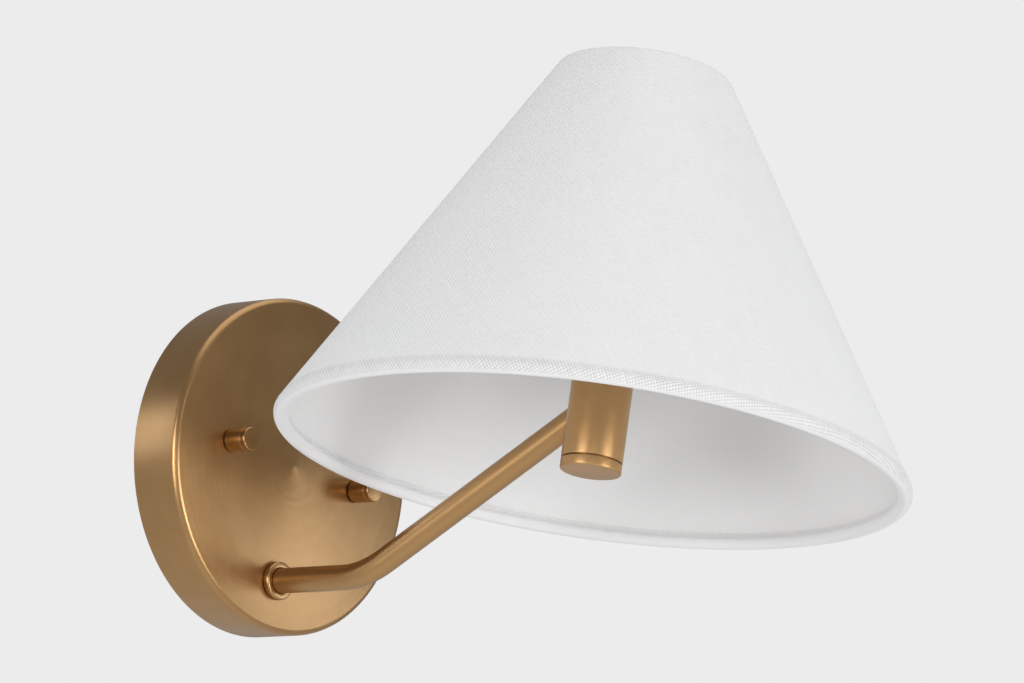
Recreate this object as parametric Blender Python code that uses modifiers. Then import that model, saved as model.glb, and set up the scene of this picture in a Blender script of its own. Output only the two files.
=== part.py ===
"""Wall sconce with a round canopy, a bent arm that swings in a collar, and a cone fabric shade.

Frame: origin at the centre of the canopy on the wall plane, +X to the right, +Y into the wall,
+Z up. The lamp stands out from the wall towards -Y. Metres; mm() turns millimetres into metres.
"""

from math import asin, cos, degrees, pi, radians, sin, sqrt, tan

import bmesh
import bpy
from mathutils import Matrix, Vector


def mm(value):
    return value / 1000.0


# Driving dimensions
GAP = mm(0.3)  # left between pieces that touch
SHARP_ANGLE = radians(35.0)  # a corner sharper than this isn't shaded smooth

CANOPY_RADIUS = mm(63.5)
CANOPY_DEPTH = mm(21.8)
CANOPY_WALL = mm(1.2)
CANOPY_EDGE = mm(2.5)

CROSSBAR_LENGTH = mm(104.0)
CROSSBAR_WIDTH = mm(24.0)
CROSSBAR_THICKNESS = mm(2.0)
STUD_OFFSET = mm(34.9)
STUD_RADIUS = mm(2.1)
CAP_NUT_RADIUS = mm(4.4)
CAP_NUT_LENGTH = mm(10.5)

SWING_HEIGHT = mm(-44.6)  # height of the swing axis
SWING_LIMIT = radians(45.0)
COLLAR_RADIUS = mm(7.2)
COLLAR_THICKNESS = mm(2.3)
NIPPLE_RADIUS = mm(3.5)
STOP_PIN_RADIUS = mm(1.2)
STOP_PIN_ORBIT = mm(10.5)

ARM_RADIUS = mm(4.75)
ARM_WALL = mm(0.9)
ARM_BEND_OUT = mm(65.8)  # distance of the bend from the wall
ARM_BEND_RADIUS = mm(38.0)
ARM_RISE = radians(31.0)

LAMP_OUT = mm(167.2)  # distance of the lamp's own axis from the wall
BARREL_RADIUS = mm(11.1)
BARREL_WALL = mm(1.0)
BARREL_BOTTOM = mm(-6.2)
BARREL_TOP = mm(32.0)
END_CAP_HEIGHT = mm(3.6)

SHADE_FABRIC = mm(0.9)
SHADE_LINER = mm(0.5)
SHADE_BOTTOM_RADIUS = mm(111.9)  # to the centre of the bottom wire
SHADE_BOTTOM_HEIGHT = mm(-5.2)
SHADE_TOP_RADIUS = mm(30.5)  # to the centre of the top wire
SHADE_TOP_HEIGHT = mm(137.5)
BOTTOM_WIRE_RADIUS = mm(1.5)
TOP_WIRE_RADIUS = mm(0.9)
SHADE_STEPS = 56
SPOKE_RADIUS = mm(1.1)
SPOKE_ANGLES = (-90.0, 30.0, 150.0)

LEAD_RADIUS = mm(0.9)
LEAD_OFFSET = mm(1.3)

FINISHES = {  # colour, roughness, metallic
    "satin_brass": ((0.48, 0.29, 0.13), 0.35, 1.0),
    "zinc_steel": ((0.60, 0.60, 0.58), 0.40, 1.0),
    "nickel": ((0.66, 0.62, 0.55), 0.25, 1.0),
    "copper": ((0.72, 0.36, 0.20), 0.35, 1.0),
    "linen": ((0.86, 0.86, 0.84), 0.90, 0.0),
    "styrene": ((0.88, 0.88, 0.86), 0.60, 0.0),
    "phenolic": ((0.05, 0.05, 0.05), 0.45, 0.0),
    "nylon": ((0.82, 0.80, 0.74), 0.50, 0.0),
    "green_zinc": ((0.10, 0.36, 0.16), 0.40, 0.6),
    "black_lead": ((0.03, 0.03, 0.03), 0.50, 0.0),
    "white_lead": ((0.82, 0.82, 0.80), 0.50, 0.0),
    "orange_plastic": ((0.80, 0.28, 0.06), 0.45, 0.0),
    "opal_glass": ((0.92, 0.91, 0.88), 0.30, 0.0),
}


# Modelling helpers
def clear_scene():
    for obj in list(bpy.data.objects):
        bpy.data.objects.remove(obj)


def new_collection(name):
    collection = bpy.data.collections.new(name)
    bpy.context.scene.collection.children.link(collection)
    return collection


def finish_material(name):
    material = bpy.data.materials.get(name)
    if material is None:
        colour, roughness, metallic = FINISHES[name]
        material = bpy.data.materials.new(name)
        material.use_nodes = True
        shader = material.node_tree.nodes["Principled BSDF"]
        shader.inputs["Base Color"].default_value = (*colour, 1.0)
        shader.inputs["Roughness"].default_value = roughness
        shader.inputs["Metallic"].default_value = metallic
    return material


def add_part(name, data, finish, parent=None, location=(0, 0, 0), turned_out=False):
    """Links data as a named part. turned_out lays the part's own Z along -Y, out of the wall."""
    obj = bpy.data.objects.new(name, data)
    parts.objects.link(obj)
    obj.parent = parent
    obj.location = location
    if turned_out:
        obj.rotation_euler = (pi / 2, 0, 0)
    data.materials.append(finish_material(finish))
    return obj


def add_empty(name, location, parent=None):
    empty = bpy.data.objects.new(name, None)
    parts.objects.link(empty)
    empty.location = location
    empty.parent = parent
    return empty


def arc(centre, radius, start, end, segments):
    """Points (radius, height) on an arc, with angles in degrees from the outward direction."""
    steps = [radians(start + (end - start) * i / segments) for i in range(segments + 1)]
    return [(centre[0] + radius * cos(a), centre[1] + radius * sin(a)) for a in steps]


def profile_mesh(name, profile):
    """A profile of (radius, height) points as a wire, closed unless it starts on the axis."""
    edges = [(i, i + 1) for i in range(len(profile) - 1)]
    if profile[0][0] > 0:
        edges.append((len(profile) - 1, 0))
    mesh = bpy.data.meshes.new(name)
    mesh.from_pydata([(r, 0, h) for r, h in profile], edges, [])
    return mesh


def evaluated_mesh(name, obj):
    """The object as its modifiers leave it, as a mesh of its own. The object is removed."""
    graph = bpy.context.evaluated_depsgraph_get()
    mesh = bpy.data.meshes.new_from_object(obj.evaluated_get(graph))
    bpy.data.objects.remove(obj)
    mesh.name = name
    mesh.materials.clear()
    mesh.shade_smooth()
    mesh.set_sharp_from_angle(angle=SHARP_ANGLE)
    return mesh


def turned(name, profile, finish, steps=32, **placing):
    """A turned part. The profile runs down its outer side, from top to bottom."""
    blank = bpy.data.objects.new("blank", profile_mesh("blank", profile))
    parts.objects.link(blank)
    screw = blank.modifiers.new("turn", "SCREW")
    screw.steps = steps
    screw.render_steps = steps
    screw.use_merge_vertices = True
    screw.merge_threshold = 0.00001
    return add_part(name, evaluated_mesh(name, blank), finish, **placing)


def ring(outer, inner, top, bottom):
    return [(outer, top), (outer, bottom), (inner, bottom), (inner, top)]


def rod(radius, top, bottom):
    return [(0, top), (radius, top), (radius, bottom), (0, bottom)]


def torus(name, major, minor, finish, steps, sides, **placing):
    section = arc((major, 0), minor, 360.0, 0.0, sides)[:-1]
    return turned(name, section, finish, steps, **placing)


def circle_outline(centre, radius, segments=24):
    steps = [2 * pi * i / segments for i in range(segments)]
    return [(centre[0] + radius * cos(a), centre[1] + radius * sin(a)) for a in steps]


def slot_outline(centre, half_run, radius):
    """A straight slot along X with round ends."""
    right = arc((centre[0] + half_run, centre[1]), radius, -90.0, 90.0, 8)
    left = arc((centre[0] - half_run, centre[1]), radius, 90.0, 270.0, 8)
    return right + left


def flat_part(name, outlines, thickness, finish, **placing):
    """A flat plate from closed outlines; those inside the first are its holes."""
    curve = bpy.data.curves.new(name, "CURVE")
    curve.dimensions = "2D"
    curve.fill_mode = "BOTH"
    curve.extrude = thickness / 2
    for outline in outlines:
        spline = curve.splines.new("POLY")
        spline.points.add(len(outline) - 1)
        for point, (x, y) in zip(spline.points, outline):
            point.co = (x, y, 0, 1)
        spline.use_cyclic_u = True
    return add_part(name, curve, finish, **placing)


def hex_outline(across_flats):
    corner = across_flats / sqrt(3)
    return circle_outline((0, 0), corner, 6)


def hex_nut(name, across_flats, bore, thickness, finish, **placing):
    outlines = [hex_outline(across_flats), circle_outline((0, 0), bore)]
    return flat_part(name, outlines, thickness, finish, **placing)


def wire_curve(name, points, radius, resolution=2):
    curve = bpy.data.curves.new(name, "CURVE")
    curve.dimensions = "3D"
    curve.bevel_depth = radius
    curve.bevel_resolution = resolution
    curve.use_fill_caps = True
    spline = curve.splines.new("POLY")
    spline.points.add(len(points) - 1)
    for point, place in zip(spline.points, points):
        point.co = (*place, 1)
    return curve


def smooth_route(points, per_span=4):
    """A Catmull-Rom curve through hand-chosen points."""
    ends = [points[0], *points, points[-1]]
    route = []
    for p0, p1, p2, p3 in zip(ends, ends[1:], ends[2:], ends[3:]):
        p0, p1, p2, p3 = (Vector(p) for p in (p0, p1, p2, p3))
        for i in range(per_span):
            t = i / per_span
            route.append(
                0.5 * (2 * p1 + (p2 - p0) * t + (2 * p0 - 5 * p1 + 4 * p2 - p3) * t**2
                       + (3 * p1 - p0 - 3 * p2 + p3) * t**3)
            )
    return route + [Vector(points[-1])]


def swept_mesh(name, points, radius, resolution):
    """A closed mesh of a round bar along a path, with its caps welded."""
    holder = bpy.data.objects.new("holder", wire_curve("holder", points, radius, resolution))
    parts.objects.link(holder)
    mesh = evaluated_mesh(name, holder)
    shape = bmesh.new()
    shape.from_mesh(mesh)
    bmesh.ops.remove_doubles(shape, verts=shape.verts, dist=0.000001)
    bmesh.ops.recalc_face_normals(shape, faces=shape.faces)
    shape.to_mesh(mesh)
    shape.free()
    mesh.set_sharp_from_angle(angle=SHARP_ANGLE)
    return mesh


def add_cutter(name, mesh, matrix=Matrix.Identity(4)):
    cutter = bpy.data.objects.new(name, mesh)
    cutters.objects.link(cutter)
    cutter.matrix_world = matrix
    cutter.hide_render = True
    cutter.display_type = "WIRE"
    return cutter


def cylinder_cutter(name, radius, start, end, vertices=32):
    """A cylinder between two world points."""
    start, end = Vector(start), Vector(end)
    shape = bmesh.new()
    length = (end - start).length
    bmesh.ops.create_cone(
        shape, cap_ends=True, segments=vertices, radius1=radius, radius2=radius, depth=length
    )
    mesh = bpy.data.meshes.new(name)
    shape.to_mesh(mesh)
    shape.free()
    turn = (end - start).to_track_quat("Z", "Y").to_matrix().to_4x4()
    return add_cutter(name, mesh, Matrix.Translation((start + end) / 2) @ turn)


def cut(obj, cutter):
    modifier = obj.modifiers.new(cutter.name, "BOOLEAN")
    modifier.operation = "DIFFERENCE"
    modifier.object = cutter


# The canopy and what holds it to the wall
def build_canopy():
    depth, wall, edge, outer = CANOPY_DEPTH, CANOPY_WALL, CANOPY_EDGE, CANOPY_RADIUS
    outside = arc((outer - edge, depth - edge), edge, 90.0, 0.0, 4)
    inside = arc((outer - edge, depth - edge), edge - wall, 0.0, 90.0, 3)
    profile = [(0, depth), *outside, (outer, 0), (outer - wall, 0), *inside, (0, depth - wall)]
    canopy = turned("canopy_cover", profile, "satin_brass", 64, parent=wall_frame, turned_out=True)
    for side, x in (("left", -STUD_OFFSET), ("right", STUD_OFFSET)):
        hole = cylinder_cutter(
            f"cut_stud_hole_{side}", STUD_RADIUS + mm(0.5), (x, -depth - mm(2), 0), (x, mm(-15), 0)
        )
        cut(canopy, hole)
    swing_hole = cylinder_cutter(
        "cut_swing_hole", COLLAR_NECK + GAP,
        (0, -depth - mm(2), SWING_HEIGHT), (0, mm(-15), SWING_HEIGHT),
    )
    cut(canopy, swing_hole)


def rounded_rectangle(length, width, corner):
    x, y = length / 2 - corner, width / 2 - corner
    outline = []
    for quarter, (cx, cy) in enumerate(((x, y), (-x, y), (-x, -y), (x, -y))):
        outline += arc((cx, cy), corner, 90.0 * quarter, 90.0 * quarter + 90.0, 4)
    return outline


def build_crossbar():
    outlines = [
        rounded_rectangle(CROSSBAR_LENGTH, CROSSBAR_WIDTH, mm(3)),
        circle_outline(GROUND_SCREW_PLACE, GROUND_SHANK + GAP),
    ]
    for side in (-1, 1):
        outlines.append(circle_outline((side * STUD_OFFSET, 0), STUD_RADIUS + GAP))
        outlines.append(slot_outline((side * mm(43.7), 0), mm(2.6), mm(2.3)))
    flat_part(
        "mounting_crossbar", outlines, CROSSBAR_THICKNESS, "zinc_steel",
        parent=wall_frame, location=(0, -CROSSBAR_THICKNESS / 2, 0), turned_out=True,
    )


def build_stud(side, x):
    stud_end = CANOPY_DEPTH + CAP_NUT_LENGTH - mm(3)
    turned(
        f"canopy_stud_{side}", rod(STUD_RADIUS, stud_end, mm(0.4)), "zinc_steel", 20,
        parent=wall_frame, location=(x, 0, 0), turned_out=True,
    )
    nut_thickness = mm(3)
    hex_nut(
        f"stud_lock_nut_{side}", mm(8), STUD_RADIUS + GAP, nut_thickness, "zinc_steel",
        parent=wall_frame, turned_out=True,
        location=(x, -(CROSSBAR_THICKNESS + GAP + nut_thickness / 2), 0),
    )
    build_cap_nut(side, x)


def build_cap_nut(side, x):
    """A plain round thumb nut with a thin groove near its closed end."""
    radius, length, edge = CAP_NUT_RADIUS, CAP_NUT_LENGTH, mm(0.6)
    groove_top, groove_bottom, groove_depth = length - mm(2.0), length - mm(2.5), mm(0.35)
    bore, bore_depth = STUD_RADIUS + GAP, length - mm(2.6)
    profile = [
        (0, length),
        *arc((radius - edge, length - edge), edge, 90.0, 0.0, 3),
        (radius, groove_top), (radius - groove_depth, groove_top),
        (radius - groove_depth, groove_bottom), (radius, groove_bottom),
        (radius, GAP), (bore, GAP), (bore, bore_depth), (0, bore_depth),
    ]
    turned(
        f"cap_nut_{side}", profile, "satin_brass", 28,
        parent=wall_frame, location=(x, -CANOPY_DEPTH, 0), turned_out=True,
    )


GROUND_SCREW_PLACE = (mm(20), mm(-5))
GROUND_SHANK = mm(1.9)
GROUND_LUG_PLACE = (mm(45), mm(-17))


def build_ground():
    head, head_height = mm(3.6), mm(2.2)
    seat = CROSSBAR_THICKNESS + mm(2.4)  # the wire's eye lies under the head
    x, z = GROUND_SCREW_PLACE
    profile = [
        (0, seat + head_height), (head - mm(0.8), seat + head_height), (head, seat + mm(1)),
        (head, seat), (GROUND_SHANK, seat), (GROUND_SHANK, mm(0.4)), (0, mm(0.4)),
    ]
    turned("ground_screw", profile, "green_zinc", 20, parent=wall_frame, location=(x, 0, z),
           turned_out=True)
    lug_x, lug_z = GROUND_LUG_PLACE
    inner_face = CANOPY_DEPTH - CANOPY_WALL - GAP
    turned("ground_lug", rod(mm(3), inner_face, inner_face - mm(1.6)), "zinc_steel", 20,
           parent=wall_frame, location=(lug_x, 0, lug_z), turned_out=True)
    wire_radius = mm(0.8)
    under_head = -(CROSSBAR_THICKNESS + mm(1.2))
    route = smooth_route([
        (x + mm(3.2), under_head, z), (x + mm(7), under_head - mm(0.6), z - mm(3)),
        (x + mm(13), mm(-6), z - mm(11)), (x + mm(20), mm(-10), z - mm(13.5)),
        (lug_x - mm(1), mm(-14), lug_z + mm(1)), (lug_x, -(inner_face - mm(2.8)), lug_z),
    ], 3)
    add_part("ground_wire", wire_curve("ground_wire", route, wire_radius), "copper",
             parent=wall_frame)


# The swivel that the arm turns in
COLLAR_NECK = mm(5.6)
NECK_END = mm(5.0)  # how far the collar's neck reaches behind the canopy's front face


def build_swivel_seat():
    """Parts fixed to the canopy. Heights run out of the wall from the canopy's front face."""
    front, edge = GAP + COLLAR_THICKNESS, mm(1.1)
    socket, floor, bore = ARM_RADIUS + GAP, mm(-0.6), NIPPLE_RADIUS + GAP
    profile = [
        *arc((socket + mm(0.5), front - mm(0.5)), mm(0.5), 180.0, 90.0, 2),
        *arc((COLLAR_RADIUS - edge, front - edge), edge, 90.0, 0.0, 4),
        (COLLAR_RADIUS, GAP), (COLLAR_NECK, GAP), (COLLAR_NECK, -NECK_END), (bore, -NECK_END),
        (bore, floor), (socket, floor),
    ]
    turned("swing_collar", profile, "satin_brass", 32, parent=swing_seat, turned_out=True)
    nut_thickness = mm(2.4)
    inner_face = -(CANOPY_WALL + GAP)
    hex_nut("collar_nut", mm(14), COLLAR_NECK + GAP, nut_thickness, "zinc_steel",
            parent=swing_seat, location=(0, nut_thickness / 2 - inner_face, 0), turned_out=True)
    pin_top = -(CANOPY_WALL + GAP)
    turned("swing_stop_pin", rod(STOP_PIN_RADIUS, pin_top, pin_top - mm(7.2)), "zinc_steel", 16,
           parent=swing_seat, location=(0, 0, -STOP_PIN_ORBIT), turned_out=True)


def stop_slot_outline():
    """The curved slot that lets the washer turn to each limit before it meets the pin."""
    half_width = STOP_PIN_RADIUS + GAP
    reach = degrees(SWING_LIMIT) + 1.0
    outer = arc((0, 0), STOP_PIN_ORBIT + half_width, -90.0 - reach, -90.0 + reach, 14)
    inner = arc((0, 0), STOP_PIN_ORBIT - half_width, -90.0 + reach, -90.0 - reach, 14)
    right = Vector((sin(radians(reach)), -cos(radians(reach)))) * STOP_PIN_ORBIT
    round_right = arc(tuple(right), half_width, reach - 90.0, reach + 90.0, 6)[1:-1]
    round_left = arc((-right.x, right.y), half_width, 90.0 - reach, 270.0 - reach, 6)[1:-1]
    return outer + round_right + inner + round_left


def build_swivel_stack():
    """Nipple, washers and nuts behind the canopy, which turn with the arm."""
    bore = NIPPLE_RADIUS + GAP
    nipple_inside = mm(3.6)  # how far it reaches up into the arm
    profile = ring(NIPPLE_RADIUS, NIPPLE_RADIUS - mm(0.9), nipple_inside, mm(-14.6))
    turned("arm_nipple", profile, "zinc_steel", 24, parent=swing_pivot, turned_out=True)
    places = {"thrust": -NECK_END - GAP, "stop": mm(-6.4), "wave": mm(-7.9), "lock": mm(-9.4)}
    thrust_thickness = mm(0.8)
    turned("thrust_washer", ring(mm(6.6), bore, places["thrust"], places["thrust"] - thrust_thickness),
           "nylon", 24, parent=swing_pivot, turned_out=True)
    stop_thickness = mm(1.2)
    flat_part("swing_stop_washer",
              [circle_outline((0, 0), mm(13.6), 40), circle_outline((0, 0), bore),
               stop_slot_outline()],
              stop_thickness, "zinc_steel", parent=swing_pivot, turned_out=True,
              location=(0, -(places["stop"] - stop_thickness / 2), 0))
    build_wave_washer(places["wave"], bore)
    nut_thickness = mm(2.2)
    for index, name in enumerate(("arm_lock_nut", "arm_jam_nut")):
        top = places["lock"] - index * (nut_thickness + GAP)
        hex_nut(name, mm(11), bore, nut_thickness, "zinc_steel", parent=swing_pivot,
                location=(0, -(top - nut_thickness / 2), 0), turned_out=True)


def build_wave_washer(top, bore):
    """A spring washer whose ring rises and falls three times round."""
    outer, thickness, wave, steps = mm(6.4), mm(0.4), mm(0.35), 36
    shape = bmesh.new()
    section = ring(outer, bore, -wave, -wave - thickness)
    profile = [shape.verts.new((r, 0, top + h)) for r, h in section]
    edges = [shape.edges.new((profile[i], profile[(i + 1) % 4])) for i in range(4)]
    bmesh.ops.spin(shape, geom=profile + edges, cent=(0, 0, 0), axis=(0, 0, 1), angle=2 * pi,
                   steps=steps, use_merge=True)
    for vertex in shape.verts:
        angle = Vector((vertex.co.x, vertex.co.y)).angle_signed(Vector((1, 0)))
        vertex.co.z += wave * cos(3 * angle)
    bmesh.ops.recalc_face_normals(shape, faces=shape.faces)
    mesh = bpy.data.meshes.new("wave_washer")
    shape.to_mesh(mesh)
    shape.free()
    add_part("wave_washer", mesh, "zinc_steel", parent=swing_pivot, turned_out=True)


# The arm
def arm_route(start, end_gap, side=0.0):
    """The arm's centre line from the swing axis: straight out, a bend, then up to the lamp."""
    out = ARM_BEND_OUT - CANOPY_DEPTH
    run = ARM_BEND_RADIUS * tan(ARM_RISE / 2)
    points = [(side, -start, 0)]
    for i in range(9):
        angle = ARM_RISE * i / 8
        points.append((side, -(out - run + ARM_BEND_RADIUS * sin(angle)),
                       ARM_BEND_RADIUS * (1 - cos(angle))))
    end = LAMP_OUT - CANOPY_DEPTH - end_gap
    points.append((side, -end, (end - out) * tan(ARM_RISE)))
    return points


ARM_ROOT = mm(-0.3)  # the tube's end, just inside the collar
ARM_END_GAP = mm(7.3)  # from the lamp's axis to the tube's end


def build_arm():
    outer = swept_mesh("swing_arm_tube", arm_route(ARM_ROOT, ARM_END_GAP), ARM_RADIUS, 8)
    arm = add_part("swing_arm_tube", outer, "satin_brass", parent=swing_pivot)
    bore_route = arm_route(ARM_ROOT - mm(1), ARM_END_GAP - mm(1))
    bore = swept_mesh("cut_arm_bore", bore_route, ARM_RADIUS - ARM_WALL, 6)
    cut(arm, add_cutter("cut_arm_bore", bore, Matrix.Translation(swing_pivot.location)))


def build_leads():
    """Two leads from the lampholder, down the arm and into their connectors in the canopy."""
    connector_x, connector_out, mouth = mm(7), mm(10.5), mm(-26)
    for name, side, finish in (("lead_black", -1, "black_lead"), ("lead_white", 1, "white_lead")):
        x = side * LEAD_OFFSET
        route = arm_route(mm(-16.0), ARM_END_GAP + mm(1), x)
        lamp_y = -(LAMP_OUT - CANOPY_DEPTH)
        up_to_holder = [(side * mm(2.4), lamp_y + mm(6.2), mm(57.6)),
                        (side * mm(3.4), lamp_y + mm(4.6), mm(61.3))]
        tail = [
            (side * connector_x, CANOPY_DEPTH - connector_out, mouth - mm(0.4) - SWING_HEIGHT),
            (side * mm(6.4), CANOPY_DEPTH - mm(8.2), mm(-31) - SWING_HEIGHT),
            (side * mm(3.6), CANOPY_DEPTH - mm(3.9), mm(-38) - SWING_HEIGHT),
            (side * mm(1.6), CANOPY_DEPTH - mm(3.0), mm(-43.2) - SWING_HEIGHT),
        ]
        curve = wire_curve(name, smooth_route(tail + route + up_to_holder, 2), LEAD_RADIUS, 2)
        add_part(name, curve, finish, parent=swing_pivot)
        build_connector(side, connector_x, connector_out, mouth)


def build_connector(side, x, out, mouth):
    length = mm(17)
    bore, bore_depth = LEAD_RADIUS + mm(0.5), mm(2)
    profile = [
        (0, length), *arc((mm(1.2), length - mm(1.4)), mm(1.4), 90.0, 10.0, 3),
        (mm(3.4), mm(4)), (mm(4.4), mm(3)), (mm(4.4), 0),
        (bore, 0), (bore, bore_depth), (0, bore_depth),
    ]
    name = "wire_connector_left" if side < 0 else "wire_connector_right"
    place = (side * x, CANOPY_DEPTH - out, mouth - SWING_HEIGHT)
    turned(name, profile, "orange_plastic", 18, parent=swing_pivot, location=place)


# The lamp barrel and the lampholder in it; heights are the row's own Z
def build_barrel():
    inner = BARREL_RADIUS - BARREL_WALL
    barrel = turned("socket_barrel", ring(BARREL_RADIUS, inner, BARREL_TOP, BARREL_BOTTOM),
                    "satin_brass", 40, parent=lamp_axis)
    route = arm_route(ARM_ROOT, mm(4))
    along = (Vector(route[-1]) - Vector(route[-2])).normalized()
    end = Vector(route[-1]) + swing_pivot.location
    hole = cylinder_cutter("cut_arm_hole", ARM_RADIUS + GAP, end - along * mm(30), end)
    cut(barrel, hole)

    cap_top = BARREL_BOTTOM - mm(0.5)
    edge, radius = mm(0.7), BARREL_RADIUS
    bottom = cap_top - END_CAP_HEIGHT
    spigot = inner - GAP
    profile = [
        (0, cap_top + mm(5)), (spigot, cap_top + mm(5)), (spigot, cap_top), (radius, cap_top),
        *arc((radius - edge, bottom + edge), edge, 0.0, -90.0, 3), (0, bottom),
    ]
    turned("barrel_end_cap", profile, "satin_brass", 40, parent=lamp_axis)


def build_lampholder():
    shoulder = BARREL_TOP + GAP
    floor = mm(22)
    profile = [
        (mm(6.95), mm(46)), (mm(10.2), mm(46)), (mm(10.2), shoulder + mm(2.2)),
        (BARREL_RADIUS, shoulder + mm(2.2)), (BARREL_RADIUS, shoulder),
        (BARREL_RADIUS - BARREL_WALL - GAP, shoulder),
        (BARREL_RADIUS - BARREL_WALL - GAP, mm(17.4)), (0, mm(17.4)),
    ]
    profile = [(0, floor), (mm(6.95), floor)] + profile
    turned("lampholder_body", profile, "phenolic", 32, parent=lamp_axis)
    turned("screw_shell", ring(mm(6.65), mm(6.35), mm(45.2), mm(24.6)), "nickel", 32,
           parent=lamp_axis)
    turned("centre_contact", rod(mm(2.2), mm(23.5), floor + GAP), "copper", 16, parent=lamp_axis)
    rod_bottom = BARREL_BOTTOM - mm(0.5) + mm(5) + GAP
    turned("barrel_tie_rod", rod(mm(1.8), mm(17.1), rod_bottom), "zinc_steel", 16,
           parent=lamp_axis)


def bulb_outline(inset, steps):
    """The envelope's outline from its tip down to its neck, moved in by the given distance."""
    neck, belly, tip = mm(8.2) - inset, mm(17.2) - inset, mm(120) - inset
    foot, widest = mm(47), mm(76)
    upper = [
        (belly * cos(pi / 2 * i / steps) ** 0.9, widest + (tip - widest) * sin(pi / 2 * i / steps))
        for i in range(steps, 0, -1)
    ]
    upper[0] = (0, tip)
    lower = [
        (neck + (belly - neck) * sin(pi / 2 * i / 5) ** 1.4, foot + (widest - foot) * i / 5)
        for i in range(5, -1, -1)
    ]
    return upper + lower


def build_bulb():
    outside, inside = bulb_outline(0, 7), bulb_outline(mm(1.0), 5)
    turned("bulb_glass", outside + inside[::-1], "opal_glass", 28, parent=lamp_axis)
    cap = [
        (0, mm(46.7)), (mm(7.6), mm(46.7)), (mm(6.0), mm(45.6)), (mm(6.0), mm(27)),
        (mm(2.4), mm(25)), (mm(1.8), mm(23.8)), (0, mm(23.8)),
    ]
    turned("bulb_cap", cap, "nickel", 28, parent=lamp_axis)


# The shade and the wire frame that carries it
def build_shade():
    run = SHADE_BOTTOM_RADIUS - SHADE_TOP_RADIUS
    rise = SHADE_TOP_HEIGHT - SHADE_BOTTOM_HEIGHT
    slant = sqrt(run**2 + rise**2)
    tilt = degrees(asin(run / slant))  # of the wall's outward normal, up from level
    bottom = (SHADE_BOTTOM_RADIUS, SHADE_BOTTOM_HEIGHT)
    top = (SHADE_TOP_RADIUS, SHADE_TOP_HEIGHT)
    bottom_bore = BOTTOM_WIRE_RADIUS + GAP
    top_bore = TOP_WIRE_RADIUS + GAP
    bottom_hook, top_hook = -250.0, 172.0  # where the fabric ends after it wraps each wire
    outer = arc(top, top_bore + SHADE_FABRIC, top_hook, tilt, 5)
    outer += arc(bottom, bottom_bore + SHADE_FABRIC, tilt, bottom_hook, 9)
    inner = arc(bottom, bottom_bore, bottom_hook, tilt, 7)
    inner += arc(top, top_bore, tilt, top_hook, 4)
    turned("shade_fabric", outer + inner, "linen", SHADE_STEPS, parent=lamp_axis)

    along, outward = Vector((-run, rise)) / slant, Vector((rise, run)) / slant
    low = Vector(bottom) + along * (bottom_bore + SHADE_FABRIC + mm(0.5))
    high = Vector(top) - along * (top_bore + SHADE_FABRIC + mm(0.5))
    low_face, high_face = bottom_bore - GAP, top_bore - GAP
    liner = [
        high + outward * high_face, low + outward * low_face,
        low + outward * (low_face - SHADE_LINER), high + outward * (high_face - SHADE_LINER),
    ]
    turned("shade_liner", [tuple(point) for point in liner], "styrene", SHADE_STEPS,
           parent=lamp_axis)
    torus("bottom_wire_ring", bottom[0], BOTTOM_WIRE_RADIUS, "zinc_steel", SHADE_STEPS, 6,
          parent=lamp_axis, location=(0, 0, bottom[1]))
    torus("top_wire_ring", top[0], TOP_WIRE_RADIUS, "zinc_steel", 32, 6,
          parent=lamp_axis, location=(0, 0, top[1]))


def build_shade_carrier():
    low = BARREL_TOP + GAP + mm(2.2) + GAP
    thickness, outer, inner = mm(1.8), mm(15), mm(10.6)
    turned("shade_carrier_ring", ring(outer, inner, low + thickness, low), "zinc_steel", 36,
           parent=lamp_axis)
    ring_low = low + thickness + GAP
    turned("shade_retaining_ring",
           [(inner, ring_low + mm(6)), (mm(12.4), ring_low + mm(6)), (mm(13.4), ring_low + mm(5)),
            (mm(13.4), ring_low + mm(1)), (mm(14.2), ring_low + mm(0.6)), (mm(14.2), ring_low),
            (inner, ring_low)],
           "phenolic", 36, parent=lamp_axis)

    height = low + thickness / 2
    start = outer + SPOKE_RADIUS * 0.3
    end = (SHADE_TOP_RADIUS - mm(0.3), SHADE_TOP_HEIGHT - TOP_WIRE_RADIUS - mm(0.7))
    foot, bend = mm(25.5), mm(6)
    route = [(start, height), (foot - bend, height)]
    route += arc((foot - bend, height + bend), bend, -90.0, -4.0, 6)[1:]
    route.append(end)
    for number, angle in enumerate(SPOKE_ANGLES, 1):
        turn = radians(angle)
        points = [(r * cos(turn), r * sin(turn), z) for r, z in route]
        name = f"shade_spoke_{number}"
        add_part(name, wire_curve(name, points, SPOKE_RADIUS, 2), "zinc_steel", parent=lamp_axis)


clear_scene()
parts = new_collection("swing_arm_wall_sconce")
cutters = new_collection("cutters")
wall_frame = add_empty("wall_frame", (0, 0, 0))
swing_seat = add_empty("swing_seat", (0, -CANOPY_DEPTH, SWING_HEIGHT))
swing_pivot = add_empty("swing_pivot", (0, -CANOPY_DEPTH, SWING_HEIGHT))
lamp_axis = add_empty(
    "lamp_axis", (0, -(LAMP_OUT - CANOPY_DEPTH), -SWING_HEIGHT), parent=swing_pivot
)

build_canopy()
build_crossbar()
for stud_side, stud_x in (("left", -STUD_OFFSET), ("right", STUD_OFFSET)):
    build_stud(stud_side, stud_x)
build_ground()
build_swivel_seat()
build_swivel_stack()
build_arm()
build_leads()
build_barrel()
build_lampholder()
build_bulb()
build_shade()
build_shade_carrier()
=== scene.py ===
# Swing arm wall sconce: a spun brass canopy, a bent tube arm, a slim lamp barrel and a linen cone shade.
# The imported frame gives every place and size. +X is to the right, +Y goes into the wall, +Z is up.
import math

import bmesh
import bpy
from mathutils import Matrix, Vector


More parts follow.
